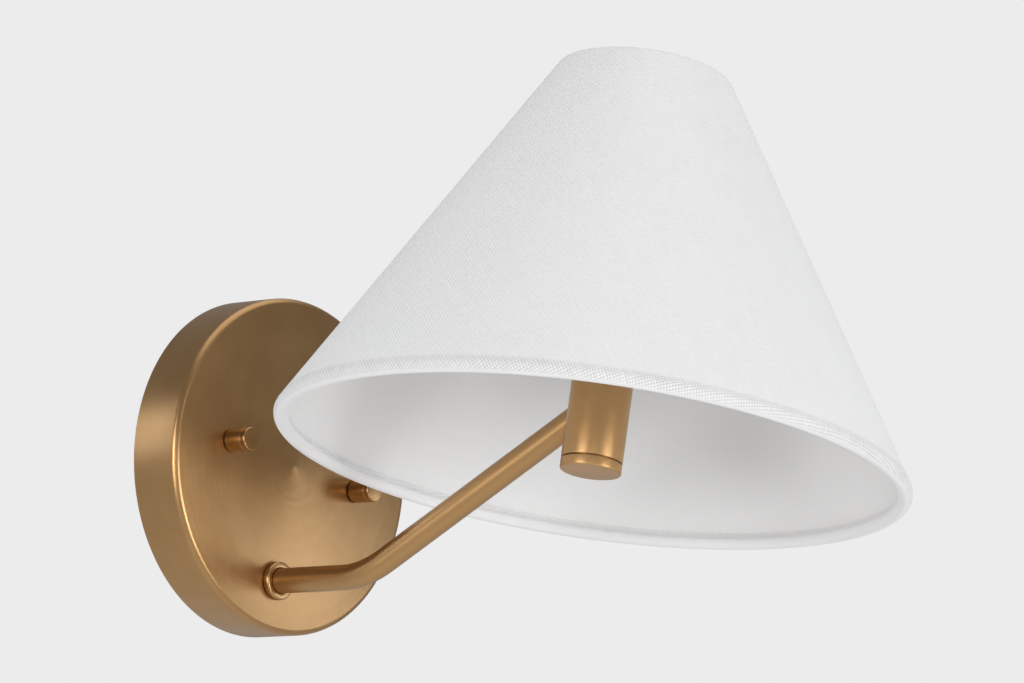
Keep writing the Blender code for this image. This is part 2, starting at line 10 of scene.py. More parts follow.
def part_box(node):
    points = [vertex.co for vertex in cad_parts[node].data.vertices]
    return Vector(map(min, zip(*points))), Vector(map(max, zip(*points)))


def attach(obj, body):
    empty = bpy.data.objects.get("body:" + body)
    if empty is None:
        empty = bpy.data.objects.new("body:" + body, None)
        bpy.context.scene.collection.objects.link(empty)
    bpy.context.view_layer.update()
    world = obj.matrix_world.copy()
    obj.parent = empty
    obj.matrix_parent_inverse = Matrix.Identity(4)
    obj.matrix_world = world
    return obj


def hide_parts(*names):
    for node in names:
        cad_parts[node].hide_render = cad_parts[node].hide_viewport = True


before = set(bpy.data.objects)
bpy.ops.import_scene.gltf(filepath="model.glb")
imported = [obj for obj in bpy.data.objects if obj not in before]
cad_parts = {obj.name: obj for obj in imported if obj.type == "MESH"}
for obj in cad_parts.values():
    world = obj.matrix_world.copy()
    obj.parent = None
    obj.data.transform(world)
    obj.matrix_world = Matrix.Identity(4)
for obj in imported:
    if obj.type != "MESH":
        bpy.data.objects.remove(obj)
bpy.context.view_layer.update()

mmToM = 0.001
towardsRoom = Vector((0, -1, 0))
upwards = Vector((0, 0, 1))


def addObject(name, data):
    made = bpy.data.objects.new(name, data)
    bpy.context.scene.collection.objects.link(made)
    return made


def boxMiddle(node):
    low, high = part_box(node)
    return (low + high) / 2


def boxSize(node):
    low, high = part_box(node)
    return high - low


# Radius and length in millimetres, and back end, of a piece turned about an axis out of the wall
def turnedSize(node):
    size, middle = boxSize(node), boxMiddle(node)
    back = Vector((middle.x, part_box(node)[1].y, middle.z))
    return size.x / 2 / mmToM, size.y / mmToM, back


# The camera, below the shade and to the left
cameraSetup = {
    "azimuth": -48.222,  # degrees round the lamp, 0 looks straight at the wall
    "elevation": -15.659,
    "roll": 8.256,
    "lens": 167.95,
    "sensor": 36,
    "place": (-1.2513, -1.2393, -0.4285),
}


def makeCamera(setup):
    azimuth, elevation = math.radians(setup["azimuth"]), math.radians(setup["elevation"])
    back = Vector((
        math.sin(azimuth) * math.cos(elevation), -math.cos(azimuth) * math.cos(elevation),
        math.sin(elevation),
    ))
    right = (-back).cross(upwards).normalized()
    turn = Matrix.Rotation(math.radians(setup["roll"]), 3, back)
    right, up = turn @ right, turn @ back.cross(right)
    camera = addObject("studioCamera", bpy.data.cameras.new("studioCamera"))
    camera.data.lens = setup["lens"]
    camera.data.sensor_width = setup["sensor"]
    facing = Matrix((right, up, back)).transposed().to_4x4()
    camera.matrix_world = Matrix.Translation(setup["place"]) @ facing
    bpy.context.scene.camera = camera


makeCamera(cameraSetup)
print("camera set")


# Shader sums written as plain Python: a Signal is one socket, and each operator adds its node
class Signal:
    def __init__(self, finish, socket):
        self.finish, self.socket = finish, socket

    def math(self, operation, *others):
        return self.finish.add("ShaderNodeMath", {"operation": operation}, [self, *others])

    def vector(self, operation, *others):
        return self.finish.add("ShaderNodeVectorMath", {"operation": operation}, [self, *others])

    def __add__(self, other):
        return self.math("ADD", other)

    __radd__ = __add__

    def __sub__(self, other):
        return self.math("SUBTRACT", other)

    def __rsub__(self, other):
        return self.finish.add("ShaderNodeMath", {"operation": "SUBTRACT"}, [other, self])

    def __mul__(self, other):
        return self.math("MULTIPLY", other)

    __rmul__ = __mul__

    def __truediv__(self, other):
        return self.math("DIVIDE", other)

    def __pow__(self, other):
        return self.math("POWER", other)

    def clamped(self):
        return self.finish.add("ShaderNodeClamp", {}, {"Value": self})

    def between(self, low, high, newLow=0.0, newHigh=1.0):
        return self.finish.add(
            "ShaderNodeMapRange", {"interpolation_type": "SMOOTHSTEP"},
            {"Value": self, "From Min": low, "From Max": high, "To Min": newLow, "To Max": newHigh},
        )


class Finish:
    def __init__(self, name, **fixed):
        self.material = bpy.data.materials.new(name)
        self.material.use_nodes = True
        self.tree = self.material.node_tree
        self.surface = self.tree.nodes["Principled BSDF"]
        for socketName, value in fixed.items():
            self.feed(socketName.replace("_", " "), value)

    # kind is the node's type; settings come first, then values or links by socket name or place
    def add(self, kind, settings, inputs, output=0):
        node = self.tree.nodes.new(kind)
        for key, value in settings.items():
            setattr(node, key, value)
        for key, value in inputs.items() if isinstance(inputs, dict) else enumerate(inputs):
            if isinstance(value, Signal):
                self.tree.links.new(value.socket, node.inputs[key])
            else:
                node.inputs[key].default_value = value
        return Signal(self, node.outputs[output])

    def feed(self, socketName, value):
        socket = self.surface.inputs[socketName]
        if isinstance(value, Signal):
            self.tree.links.new(value.socket, socket)
        else:
            socket.default_value = (*value, 1) if socketName == "Base Color" else value

    def place(self):
        return self.add("ShaderNodeTexCoord", {}, {}, "Object")

    def uv(self):
        return self.add("ShaderNodeTexCoord", {}, {}, "UV")

    def parts(self, vector):
        node = self.tree.nodes.new("ShaderNodeSeparateXYZ")
        self.tree.links.new(vector.socket, node.inputs[0])
        return [Signal(self, socket) for socket in node.outputs]

    def dot(self, first, second):
        return self.add("ShaderNodeVectorMath", {"operation": "DOT_PRODUCT"}, [first, second], "Value")

    def length(self, vector):
        return self.add("ShaderNodeVectorMath", {"operation": "LENGTH"}, [vector], "Value")

    def scaled(self, vector, amount):
        return self.add("ShaderNodeVectorMath", {"operation": "SCALE"}, {0: vector, "Scale": amount})

    def joined(self, x, y, z):
        return self.add("ShaderNodeCombineXYZ", {}, [x, y, z])

    def noise(self, vector, scale, detail=2.0, roughness=0.5):
        return self.add(
            "ShaderNodeTexNoise", {},
            {"Vector": vector, "Scale": scale, "Detail": detail, "Roughness": roughness},
        )

    def mixColour(self, amount, first, second):
        return self.add(
            "ShaderNodeMix", {"data_type": "RGBA"}, {0: amount, 6: asColour(first), 7: asColour(second)}, 2
        )

    def bump(self, height, strength, distance):
        return self.add(
            "ShaderNodeBump", {}, {"Height": height, "Strength": strength, "Distance": distance}
        )


def asColour(value):
    return value if isinstance(value, Signal) else (*value, 1)


# Brass, spun or turned about an axis: fine rings that spread each highlight across themselves
brassLook = {
    "dark": (0.425, 0.244, 0.100),
    "light": (0.462, 0.272, 0.117),
    "barrelPaintedLight": 1.25,  # painted light: the barrel's and the arm's brass colour is scaled brighter than the canopy's to stand in for the light they catch
    "armPaintedLight": 1.04,
    "lacquer": 0.12,
    "lacquerRoughness": 0.3,
    "fineRings": 38000,  # per metre
    "broadRings": 2600,
    "ringDrift": 30.0,  # how far the rings wander as they go round
}


# Scales both brass colours up by paintedLight, a lit copy of the same brass, as painted light
def brassShades(paintedLight):
    return [tuple(part * paintedLight for part in brassLook[shade]) for shade in ("dark", "light")]


def lacqueredMetal(name):
    lacquer, roughness = brassLook["lacquer"], brassLook["lacquerRoughness"]
    return Finish(name, Metallic=1.0, Coat_Weight=lacquer, Coat_Roughness=roughness)


def turnedBrass(name, centre, axis, spread, broadSpread, sidewaysSpread, roughness, dish=0.0, paintedLight=1.0):
    finish = lacqueredMetal(name)
    place = finish.place()
    normal = finish.add("ShaderNodeTexCoord", {}, {}, "Normal")
    offset = place.vector("SUBTRACT", tuple(centre))
    height = finish.dot(offset, tuple(axis))
    around = offset.vector("CROSS_PRODUCT", tuple(axis))
    radius = finish.length(around)
    along = around.vector("NORMALIZE")
    across = normal.vector("CROSS_PRODUCT", along)
    drift = finish.scaled(place, brassLook["ringDrift"])

    def rings(count, layer, detail):
        spot = finish.joined(radius * count, height * count, layer).vector("ADD", drift)
        return finish.noise(spot, 1.0, detail)

    fine, sideways = rings(brassLook["fineRings"], 0.0, 1.0), rings(brassLook["fineRings"], 41.0, 1.0)
    broad = rings(brassLook["broadRings"], 0.0, 2.0)
    facing = finish.dot(normal, tuple(axis))
    tilt = (fine - 0.5) * spread + (broad - 0.5) * broadSpread - facing * facing * dish
    slip = finish.scaled(along, (sideways - 0.5) * sidewaysSpread)
    brushed = normal.vector("ADD", finish.scaled(across, tilt)).vector("ADD", slip).vector("NORMALIZE")
    toWorld = {"vector_type": "NORMAL", "convert_from": "OBJECT", "convert_to": "WORLD"}
    finish.feed("Normal", finish.add("ShaderNodeVectorTransform", toWorld, [brushed]))
    patches = finish.noise(place, 45.0, 3.0, 0.6)
    tone = (broad * 0.15 + patches * 0.85).between(0.35, 0.65)
    finish.feed("Base Color", finish.mixColour(tone, *brassShades(paintedLight)))
    finish.feed("Roughness", roughness + (patches - 0.5) * 0.05 + (broad - 0.5) * 0.02)
    return finish.material


def satinBrass(name, roughness, paintedLight=1.0):
    finish = lacqueredMetal(name)
    place = finish.place()
    grain = finish.noise(place, 5200.0, 2.0, 0.7)
    patches = finish.noise(place, 60.0, 3.0, 0.6)
    finish.feed("Base Color", finish.mixColour(patches, *brassShades(paintedLight)))
    finish.feed("Roughness", roughness + (grain - 0.5) * 0.08 + (patches - 0.5) * 0.05)
    finish.feed("Normal", finish.bump(grain, 0.12, 0.00004))
    return finish.material


# Plated steel, bare copper and the moulded parts
def platedSteel(name, shade, roughness, grainScale=2400.0):
    finish = Finish(name, Metallic=1.0)
    place = finish.place()
    spangle = finish.add(
        "ShaderNodeTexVoronoi", {"feature": "SMOOTH_F1"},
        {"Vector": place, "Scale": 420.0, "Smoothness": 0.6},
    )
    grain = finish.noise(place, grainScale, 2.0, 0.6)
    tarnish = finish.noise(place, 110.0, 4.0, 0.65)
    dull = tuple(0.62 * value for value in shade)
    finish.feed("Base Color", finish.mixColour(tarnish.between(0.35, 0.75), shade, dull))
    finish.feed("Roughness", roughness + (tarnish - 0.5) * 0.25 + (spangle - 0.4) * 0.10)
    finish.feed("Normal", finish.bump(grain, 0.10, 0.00005))
    return finish.material


def mouldedPlastic(name, shade, roughness, texture=900.0, strength=0.15):
    finish = Finish(name, Metallic=0.0, Specular_IOR_Level=0.45)
    place = finish.place()
    grain = finish.noise(place, texture, 3.0, 0.6)
    cloud = finish.noise(place, 70.0, 3.0, 0.55)
    dull = tuple(0.80 * value for value in shade)
    finish.feed("Base Color", finish.mixColour(cloud.between(0.3, 0.7), shade, dull))
    finish.feed("Roughness", roughness + (cloud - 0.5) * 0.15)
    finish.feed("Normal", finish.bump(grain, strength, 0.00006))
    return finish.material


# Linen, woven along the flat cut: the UV map holds the cut's own metres, times ten
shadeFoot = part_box("bottom_wire_ring")[0].z
linenLook = {
    "thread": (0.87, 0.87, 0.873),
    # gap is painted shade between the threads
    "gap": (0.40, 0.40, 0.405),
    "cloud": (0.83, 0.828, 0.825),
    "depth": 0.30,  # how strongly painted shade darkens the gaps between threads
    "hemGapShade": 0.42,
    "insideGapShade": 0.10,
    "hem": (shadeFoot + 0.0035, shadeFoot + 0.0052),  # heights where the doubled hem ends
    "pitch": 0.00098,  # from thread to thread
    "uvScale": 10.0,
}


# How far a point stands out from the shade's own cone
def coneDepth(finish, place):
    offset = place.vector("SUBTRACT", (0, lampOut, 0)).vector("MULTIPLY", (1, 1, 0))
    reach = finish.length(offset)
    rise = finish.parts(place)[2] - shadeBottom.y * mmToM
    return reach - shadeBottom.x * mmToM - rise * (shadeSlant.x / shadeSlant.y)


def wovenLinen(name):
    finish = Finish(name, Metallic=0.0, Specular_IOR_Level=0.2, Sheen_Weight=0.25, Sheen_Roughness=0.5)
    across, along = finish.parts(finish.uv())[:2]
    place = finish.place()
    low = finish.parts(place)[2].between(*linenLook["hem"], 1.0, 0.0)
    outside = coneDepth(finish, place).between(-0.0005, 0.0012)
    threads = 1 / (linenLook["pitch"] * linenLook["uvScale"])
    step = math.pi * threads
    slubAcross = finish.noise(finish.joined(across * 9.0, along * threads, 0.0), 1.0, 2.0)
    slubAlong = finish.noise(finish.joined(across * threads, along * 9.0, 3.7), 1.0, 2.0)
    warp = (across * step + slubAlong * 1.6).math("SINE").math("ABSOLUTE")
    weft = (along * step + slubAcross * 1.6).math("SINE").math("ABSOLUTE")
    pillow = (warp * weft) ** 0.7
    thick = (slubAcross + slubAlong - 1.0) * 0.4
    cloth = (pillow + thick).clamped()
    cloud = finish.noise(place, 30.0, 3.0)
    # Painted shade in the gaps between threads: deepest on the outer hem, faint on the inside
    outsideGapShade = low * linenLook["hemGapShade"] + linenLook["depth"]
    gapShadeAmount = outside * (outsideGapShade - linenLook["insideGapShade"]) + linenLook["insideGapShade"]
    threadOverGapShade = 1.0 - (1.0 - cloth) * gapShadeAmount
    shade = finish.mixColour(threadOverGapShade, linenLook["gap"], linenLook["thread"])
    clouded = cloud.between(0.3, 0.7, 0.0, 0.3)
    finish.feed("Base Color", finish.mixColour(clouded, shade, linenLook["cloud"]))
    finish.feed("Roughness", 0.88 + (cloth - 0.5) * 0.1)
    finish.feed("Normal", finish.bump(cloth, 0.45, 0.00015))
    return finish.material


def linerSheet(name):
    finish = Finish(name, Metallic=0.0, Specular_IOR_Level=0.25)
    place = finish.place()
    cloud = finish.noise(place, 24.0, 3.0, 0.5)
    fibre = finish.noise(place, 700.0, 3.0, 0.6)
    tone = (cloud * 0.6 + fibre * 0.4).between(0.3, 0.7)
    finish.feed("Base Color", finish.mixColour(tone, (0.825, 0.825, 0.825), (0.855, 0.855, 0.855)))
    finish.feed("Roughness", 0.62 + (fibre - 0.5) * 0.12)
    finish.feed("Normal", finish.bump(fibre, 0.08, 0.00008))
    return finish.material


def opalGlass(name):
    finish = Finish(name, Metallic=0.0, IOR=1.5, Coat_Weight=0.0)
    place = finish.place()
    cloud = finish.noise(place, 50.0, 2.0, 0.5)
    finish.feed("Base Color", finish.mixColour(cloud, (0.90, 0.895, 0.87), (0.86, 0.855, 0.83)))
    finish.feed("Roughness", 0.22 + (cloud - 0.5) * 0.08)
    return finish.material


# Places of the parts that everything is measured from
bottomWireRadius, topWireRadius = 1.5, 0.9
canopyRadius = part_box("canopy_cover")[1].x
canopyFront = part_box("canopy_cover")[0].y
swingHeight = boxMiddle("swing_collar").z
swingPlace = Vector((0, canopyFront, swingHeight))
lampOut = boxMiddle("socket_barrel").y
lampPlace = Vector((0, lampOut, 0))


def ringCentre(node, wire):
    low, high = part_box(node)
    return Vector(((high.x - low.x) / 2 / mmToM - wire, (low.z + high.z) / 2 / mmToM))


shadeBottom = ringCentre("bottom_wire_ring", bottomWireRadius)
shadeTop = ringCentre("top_wire_ring", topWireRadius)
shadeSlant = shadeTop - shadeBottom
# how far the cloth's outward face tips up from level, in degrees
shadeTilt = math.degrees(math.atan2(-shadeSlant.x, shadeSlant.y))

brassCanopy = turnedBrass("spunBrassCanopy", (0, 0, 0), (0, 1, 0), 0.42, 0.008, 0.20, 0.33, 0.09)
# The barrel and the arm take a brighter copy of the brass: painted light standing in for the light they
# catch
brassBarrel = turnedBrass(
    "turnedBrassBarrel", lampPlace, (0, 0, 1), 0.35, 0.01, 0.10, 0.35, paintedLight=brassLook["barrelPaintedLight"]
)
brassArm = satinBrass("satinBrassArm", 0.36, brassLook["armPaintedLight"])
steelPlate = platedSteel("zincPlatedSteel", (0.60, 0.60, 0.58), 0.36)
steelWire = platedSteel("zincWire", (0.64, 0.63, 0.60), 0.30)
nickelShell = platedSteel("nickelShell", (0.70, 0.66, 0.58), 0.22)
copperWire = platedSteel("bareCopper", (0.78, 0.40, 0.24), 0.30)
greenScrew = platedSteel("greenScrew", (0.10, 0.34, 0.15), 0.38)
blackMoulding = mouldedPlastic("blackMoulding", (0.035, 0.034, 0.033), 0.46)
blackInsulation = mouldedPlastic("blackInsulation", (0.025, 0.025, 0.026), 0.38, 300.0, 0.05)
whiteInsulation = mouldedPlastic("whiteInsulation", (0.78, 0.78, 0.76), 0.42, 300.0, 0.05)
orangeMoulding = mouldedPlastic("orangeMoulding", (0.78, 0.24, 0.045), 0.42)
nylonWasher = mouldedPlastic("nylonWasher", (0.80, 0.78, 0.71), 0.5)
linen = wovenLinen("whiteLinen")
liner = linerSheet("linerSheet")
opal = opalGlass("opalGlass")
print("finishes made")


# An outline of (radius, height, corner) points in millimetres, with each corner rounded
def softOutline(points, segments=5, closed=True):
    softened = []
    count = len(points)
    for index, (x, y, corner) in enumerate(points):
        here = Vector((x, y))
        if corner <= 0 or (not closed and index in (0, count - 1)):
            softened.append(here)
            continue
        before = (Vector(points[index - 1][:2]) - here).normalized()
        after = (Vector(points[(index + 1) % count][:2]) - here).normalized()
        half = before.angle(after) / 2
        middle = here + (before + after).normalized() * (corner / math.sin(half))
        start = here + before * (corner / math.tan(half)) - middle
        end = here + after * (corner / math.tan(half)) - middle
        sweep = start.angle_signed(end)
        for step in range(segments + 1):
            softened.append(middle + Matrix.Rotation(-sweep * step / segments, 2) @ start)
    return softened


# A zigzag outline of a screw thread from one height down to another, in millimetres
def threadOutline(radius, depth, pitch, top, bottom):
    turns = max(2, round((top - bottom) / pitch))
    outline = []
    for turn in range(turns):
        height = top - (top - bottom) * turn / turns
        outline.append((radius - depth, height, 0))
        outline.append((radius, height - (top - bottom) * 0.5 / turns, 0))
    return outline + [(radius - depth, bottom, 0)]


def finishPiece(name, shape, material, body, replaced=(), sharp=32.0):
    mesh = bpy.data.meshes.new(name)
    shape.to_mesh(mesh)
    shape.free()
    mesh.shade_smooth()
    mesh.set_sharp_from_angle(angle=math.radians(sharp))
    piece = addObject(name, mesh)
    mesh.materials.append(material)
    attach(piece, body)
    if replaced:
        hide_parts(*replaced)
    return piece


def tidyShape(shape, gap=0.000002):
    bmesh.ops.remove_doubles(shape, verts=shape.verts, dist=gap)
    bmesh.ops.recalc_face_normals(shape, faces=shape.faces)


def only(kind, geometry):
    return [part for part in geometry if isinstance(part, getattr(bmesh.types, kind))]


# Spins an outline in millimetres about an axis through origin. The outline's height runs along the axis
def spinShape(outline, origin, axis, steps, closed=True):
    shape = bmesh.new()
    axis = Vector(axis)
    side = axis.orthogonal().normalized()
    corners = [
        shape.verts.new(Vector(origin) + (side * point[0] + axis * point[1]) * mmToM) for point in outline
    ]
    pairs = list(zip(corners, corners[1:]))
    if closed:
        pairs.append((corners[-1], corners[0]))
    rims = [shape.edges.new(pair) for pair in pairs]
    bmesh.ops.spin(
        shape, geom=corners + rims, cent=origin, axis=axis, angle=math.tau, steps=steps, use_merge=True
    )
    tidyShape(shape)
    return shape


def spunPiece(
    name, points, origin, axis, material, body, replaced=(), steps=96, segments=5, closed=True,
    sharp=32.0,
):
    outline = softOutline(points, segments, closed)
    shape = spinShape(outline, origin, axis, steps, closed)
    return finishPiece(name, shape, material, body, replaced, sharp)


# A finer copy of a CAD node whose shape is already right, with its sharp edges broken
def refinedCopy(name, node, material, body, bevel=0.00012, levels=0):
    shape = bmesh.new()
    shape.from_mesh(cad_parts[node].data)
    bmesh.ops.remove_doubles(shape, verts=shape.verts, dist=0.00001)
    bmesh.ops.dissolve_limit(
        shape, angle_limit=math.radians(1.0), verts=shape.verts, edges=shape.edges
    )
    sharpAngle = math.radians(40)
    corners = [
        edge for edge in shape.edges if len(edge.link_faces) == 2 and edge.calc_face_angle() > sharpAngle
    ]
    if bevel > 0 and corners:
        bmesh.ops.bevel(
            shape, geom=corners, offset=bevel, offset_type="OFFSET", segments=2, profile=0.5, material=-1,
            affect="EDGES", clamp_overlap=True,
        )
    bmesh.ops.recalc_face_normals(shape, faces=shape.faces)
    piece = finishPiece(name, shape, material, body, (node,))
    if levels:
        smooth = piece.modifiers.new("smooth", "SUBSURF")
        smooth.levels = levels
        smooth.render_levels = levels
    return piece


# Cuts holes of a given radius and axis line through a piece, and leaves it a plain mesh
def drill(piece, holes):
    for start, end, radius in holes:
        start, end = Vector(start), Vector(end)
        shape = bmesh.new()
        turn = (end - start).to_track_quat("Z", "Y").to_matrix().to_4x4()
        bmesh.ops.create_cone(
            shape, cap_ends=True, segments=64, radius1=radius, radius2=radius, depth=(end - start).length,
            matrix=Matrix.Translation((start + end) / 2) @ turn,
        )
        mesh = bpy.data.meshes.new("drill")
        shape.to_mesh(mesh)
        shape.free()
        drillBit = addObject("drill", mesh)
        cut = piece.modifiers.new("drill", "BOOLEAN")
        cut.operation = "DIFFERENCE"
        cut.object = drillBit
        bpy.context.view_layer.update()
        graph = bpy.context.evaluated_depsgraph_get()
        drilled = bpy.data.meshes.new_from_object(piece.evaluated_get(graph))
        piece.modifiers.clear()
        piece.data = drilled
        drilled.set_sharp_from_angle(angle=math.radians(32))
        bpy.data.objects.remove(drillBit)


# Presses grip ribs into the points that chosen picks by their distance from centre and their height
def pressRibs(shape, centre, count, depth, chosen):
    for vert in shape.verts:
        arm = Vector((vert.co.x, vert.co.y)) - centre
        if chosen(arm.length, vert.co.z):
            wave = 0.5 + 0.5 * math.cos(math.atan2(arm.y, arm.x) * count)
            vert.co.xy = centre + arm * (1 - depth * wave)


# The canopy: a spun cup whose face is very slightly crowned
canopyCup = {
    "edge": 2.3,
    "wall": 1.2,
    "crown": 0.25,
    "armHole": 5.9,
    "studGap": 0.5,
}


def makeCanopy(setup):
    radius, depth, wall = canopyRadius / mmToM, -canopyFront / mmToM, setup["wall"]
    outline = [
        (0, depth, 0), (radius * 0.45, depth - setup["crown"] * 0.2, 0),
        (radius * 0.75, depth - setup["crown"] * 0.56, 0),
        (radius, depth - setup["crown"], setup["edge"]), (radius, 0, 0.25), (radius - wall, 0, 0.25),
        (radius - wall, depth - wall - setup["crown"], setup["edge"] - wall * 0.6),
        (0, depth - wall - setup["crown"], 0),
    ]
    cup = spunPiece(
        "canopyCup", outline, (0, 0, 0), towardsRoom, brassCanopy, "canopy",
        ("canopy_cover",), steps=192, segments=8, closed=False,
    )
    holes = [(0, swingHeight, setup["armHole"] * mmToM)]
    for node in ("canopy_stud_left", "canopy_stud_right"):
        middle, radius = boxMiddle(node), boxSize(node).x / 2
        holes.append((middle.x, middle.z, radius + setup["studGap"] * mmToM))
    front, back = canopyFront - 0.004, canopyFront + 0.006
    drill(cup, [((x, front, z), (x, back, z), radius) for x, z, radius in holes])


makeCanopy(canopyCup)
print("canopy spun")


# The two thumb nuts and the studs under them
capNut = {
    "edge": 0.55,
    "grooveBack": 2.0,  # from the closed end
    "grooveWide": 0.45,
    "grooveDeep": 0.3,
    "bore": 2.4,
    "boreFloor": 2.6,
}


def makeCapNut(side, setup):
    node = "cap_nut_" + side
    radius, length, origin = turnedSize(node)
    boreRadius, boreDeep = setup["bore"], length - setup["boreFloor"]
    grooveOut, grooveIn = length - setup["grooveBack"], length - setup["grooveBack"] - setup["grooveWide"]
    deep = radius - setup["grooveDeep"]
    outline = [
        (0, length, 0), (radius, length, setup["edge"]), (radius, grooveOut, 0.14),
        (deep, grooveOut - 0.05, 0.04), (deep, grooveIn + 0.05, 0.04), (radius, grooveIn, 0.14),
        (radius, 0, 0.2), (boreRadius, 0, 0.2), (boreRadius, boreDeep, 0.2), (0, boreDeep, 0),
    ]
    finish = turnedBrass("turnedBrassNut" + side.title(), origin, (0, 1, 0), 0.35, 0.02, 0.1, 0.30)
    spunPiece(
        "capNut" + side.title(), outline, origin, towardsRoom, finish, side + "_cap_nut",
        (node,), steps=80, segments=4, closed=False,
    )


def makeStud(side):
    node = "canopy_stud_" + side
    radius, length, origin = turnedSize(node)
    outline = [(0, length, 0), (radius - 0.7, length, 0)]
    outline += threadOutline(radius, 0.32, 0.7, length - 0.5, 0.4)
    outline += [(radius - 0.7, 0, 0), (0, 0, 0)]
    spunPiece(
        "stud" + side.title(), outline, origin, towardsRoom, steelWire, "canopy", (node,),
        steps=40, closed=False, sharp=70,
    )


for side in ("left", "right"):
    makeCapNut(side, capNut)
    makeStud(side)
print("nuts and studs made")


# The collar that the arm turns in
collarRing = {
    "lip": 0.9,  # radius of the rounded front edge
    "inner": 0.35,
}


def makeCollar(setup):
    low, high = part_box("swing_collar")
    radius = (high.x - low.x) / 2 / mmToM
    front, back = (canopyFront - low.y) / mmToM, (canopyFront - high.y) / mmToM
    armRadius = boxSize("swing_arm_tube").x / 2 / mmToM
    socket, neck, bore, floor = armRadius + 0.12, 5.6, 3.8, -0.6
    outline = [
        (socket, front, setup["inner"]), (radius, front, setup["lip"]), (radius, 0.12, 0.35),
        (neck, 0.12, 0),
        (neck, back, 0.3), (bore, back, 0.2), (bore, floor, 0.1), (socket, floor, 0.1),
    ]
    finish = turnedBrass("turnedBrassCollar", swingPlace, (0, 1, 0), 0.3, 0.02, 0.1, 0.27)
    spunPiece(
        "swingCollar", outline, swingPlace, towardsRoom, finish, "canopy", ("swing_collar",),
        steps=96, segments=7,
    )


makeCollar(collarRing)


# The arm: one bent tube, a straight root, a bend and a long rise to the barrel
armTube = {
    "wall": 0.9,
    "bendOut": 65.8,  # distance of the bend's corner from the wall
    "bendRadius": 38.0,
    "rise": 31.0,  # degrees
    "endGap": 7.3,  # from the lamp's own axis to the tube's end
    "sides": 56,
    "bendSteps": 24,
}


# The rise's direction, as an angle and a vector, and how far out the bend's corner is
def armCourse(setup):
    rise = math.radians(setup["rise"])
    return rise, Vector((0, -math.cos(rise), math.sin(rise))), setup["bendOut"] * mmToM


def sweepArm(shape, radius, setup, root, end):
    rise, along, corner = armCourse(setup)
    bendRadius = setup["bendRadius"] * mmToM
    run = bendRadius * math.tan(rise / 2)
    start = Vector((0, canopyFront - root, swingHeight))
    ring = bmesh.ops.create_circle(
        shape, cap_ends=False, segments=setup["sides"], radius=radius,
        matrix=Matrix.Translation(start) @ Matrix.Rotation(math.pi / 2, 4, "X"),
    )
    edges = list({edge for vert in ring["verts"] for edge in vert.link_edges})
    firstEdges = edges
    grown = bmesh.ops.extrude_edge_only(shape, edges=edges)["geom"]
    verts, edges = only("BMVert", grown), only("BMEdge", grown)
    bmesh.ops.translate(shape, verts=verts, vec=(0, -(corner - run) - start.y, 0))
    centre = (0, -(corner - run), swingHeight + bendRadius)
    bent = bmesh.ops.spin(
        shape, geom=verts + edges, cent=centre, axis=(1, 0, 0), angle=-rise, steps=setup["bendSteps"],
        use_merge=False,
    )["geom_last"]
    grown = bmesh.ops.extrude_edge_only(shape, edges=only("BMEdge", bent))["geom"]
    verts, edges = only("BMVert", grown), only("BMEdge", grown)
    bendEnd = Vector((0, -corner, swingHeight)) + along * run
    length = (-end - bendEnd.y) / along.y
    bmesh.ops.translate(shape, verts=verts, vec=along * length)
    return firstEdges, edges


def makeArm(setup):
    shape = bmesh.new()
    outer = boxSize("swing_arm_tube").x / 2
    root = -0.0003
    end = -lampOut - setup["endGap"] * mmToM
    outsideStart, outsideEnd = sweepArm(shape, outer, setup, root, end)
    insideStart, insideEnd = sweepArm(shape, outer - setup["wall"] * mmToM, setup, root, end)
    bmesh.ops.bridge_loops(shape, edges=outsideStart + insideStart)
    bmesh.ops.bridge_loops(shape, edges=outsideEnd + insideEnd)
    tidyShape(shape)
    finishPiece("swingArm", shape, brassArm, "swing_arm", ("swing_arm_tube",), 40)


makeArm(armTube)
print("arm bent")


# The lamp barrel with its end cap
barrelTube = {
    "wall": 1.0,
    "capGroove": 0.45,
    "capEdge": 0.7,
}


def makeBarrel(setup):
    low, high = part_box("socket_barrel")
    radius, top, bottom = (high.x - low.x) / 2 / mmToM, high.z / mmToM, low.z / mmToM
    inner = radius - setup["wall"]
    barrel = spunPiece(
        "lampBarrel",
        [(radius, top, 0.25), (radius, bottom, 0.22), (inner, bottom, 0.1), (inner, top, 0.2)],
        lampPlace, upwards, brassBarrel, "swing_arm", ("socket_barrel",),
        steps=128, segments=4,
    )
    rise, along, out = armCourse(armTube)
    corner = Vector((0, -out, swingHeight))
    outer = boxSize("swing_arm_tube").x / 2
    reach = (-lampOut - out) / math.cos(rise)
    drill(barrel, [(corner + along * (reach - 0.03), corner + along * (reach - 0.002), outer + 0.00005)])

    capTop = bottom - setup["capGroove"]
    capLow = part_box("barrel_end_cap")[0].z / mmToM
    plug = inner - 0.15
    outline = [
        (0, capTop + 5, 0), (plug, capTop + 5, 0.3), (plug, capTop, 0.05), (radius - 0.02, capTop, 0.28),
        (radius - 0.02, capLow, setup["capEdge"]), (0, capLow, 0),
    ]
    spunPiece(
        "barrelEndCap", outline, lampPlace, upwards, brassBarrel, "swing_arm",
        ("barrel_end_cap",), steps=128, segments=6, closed=False,
    )


makeBarrel(barrelTube)
print("barrel turned")


# The lampholder, its retaining ring and the lamp
lampholder = {
    "ribs": 36,
    "threadPitch": 1.6,
    "shellRadius": 6.5,
    "shellDepth": 0.12,
    "shellTurns": 7,
    "shellWall": 0.25,
    "gripDepth": 0.028,  # of the ring's radius, between its ribs
}


# A rounded thread pressed in thin metal, from its top down
def rolledThread(radius, depth, turns, top, length):
    outline = []
    for step in range(turns * 6 + 1):
        share = step / (turns * 6)
        outline.append((radius + depth * math.cos(math.tau * turns * share), top - share * length, 0))
    return outline


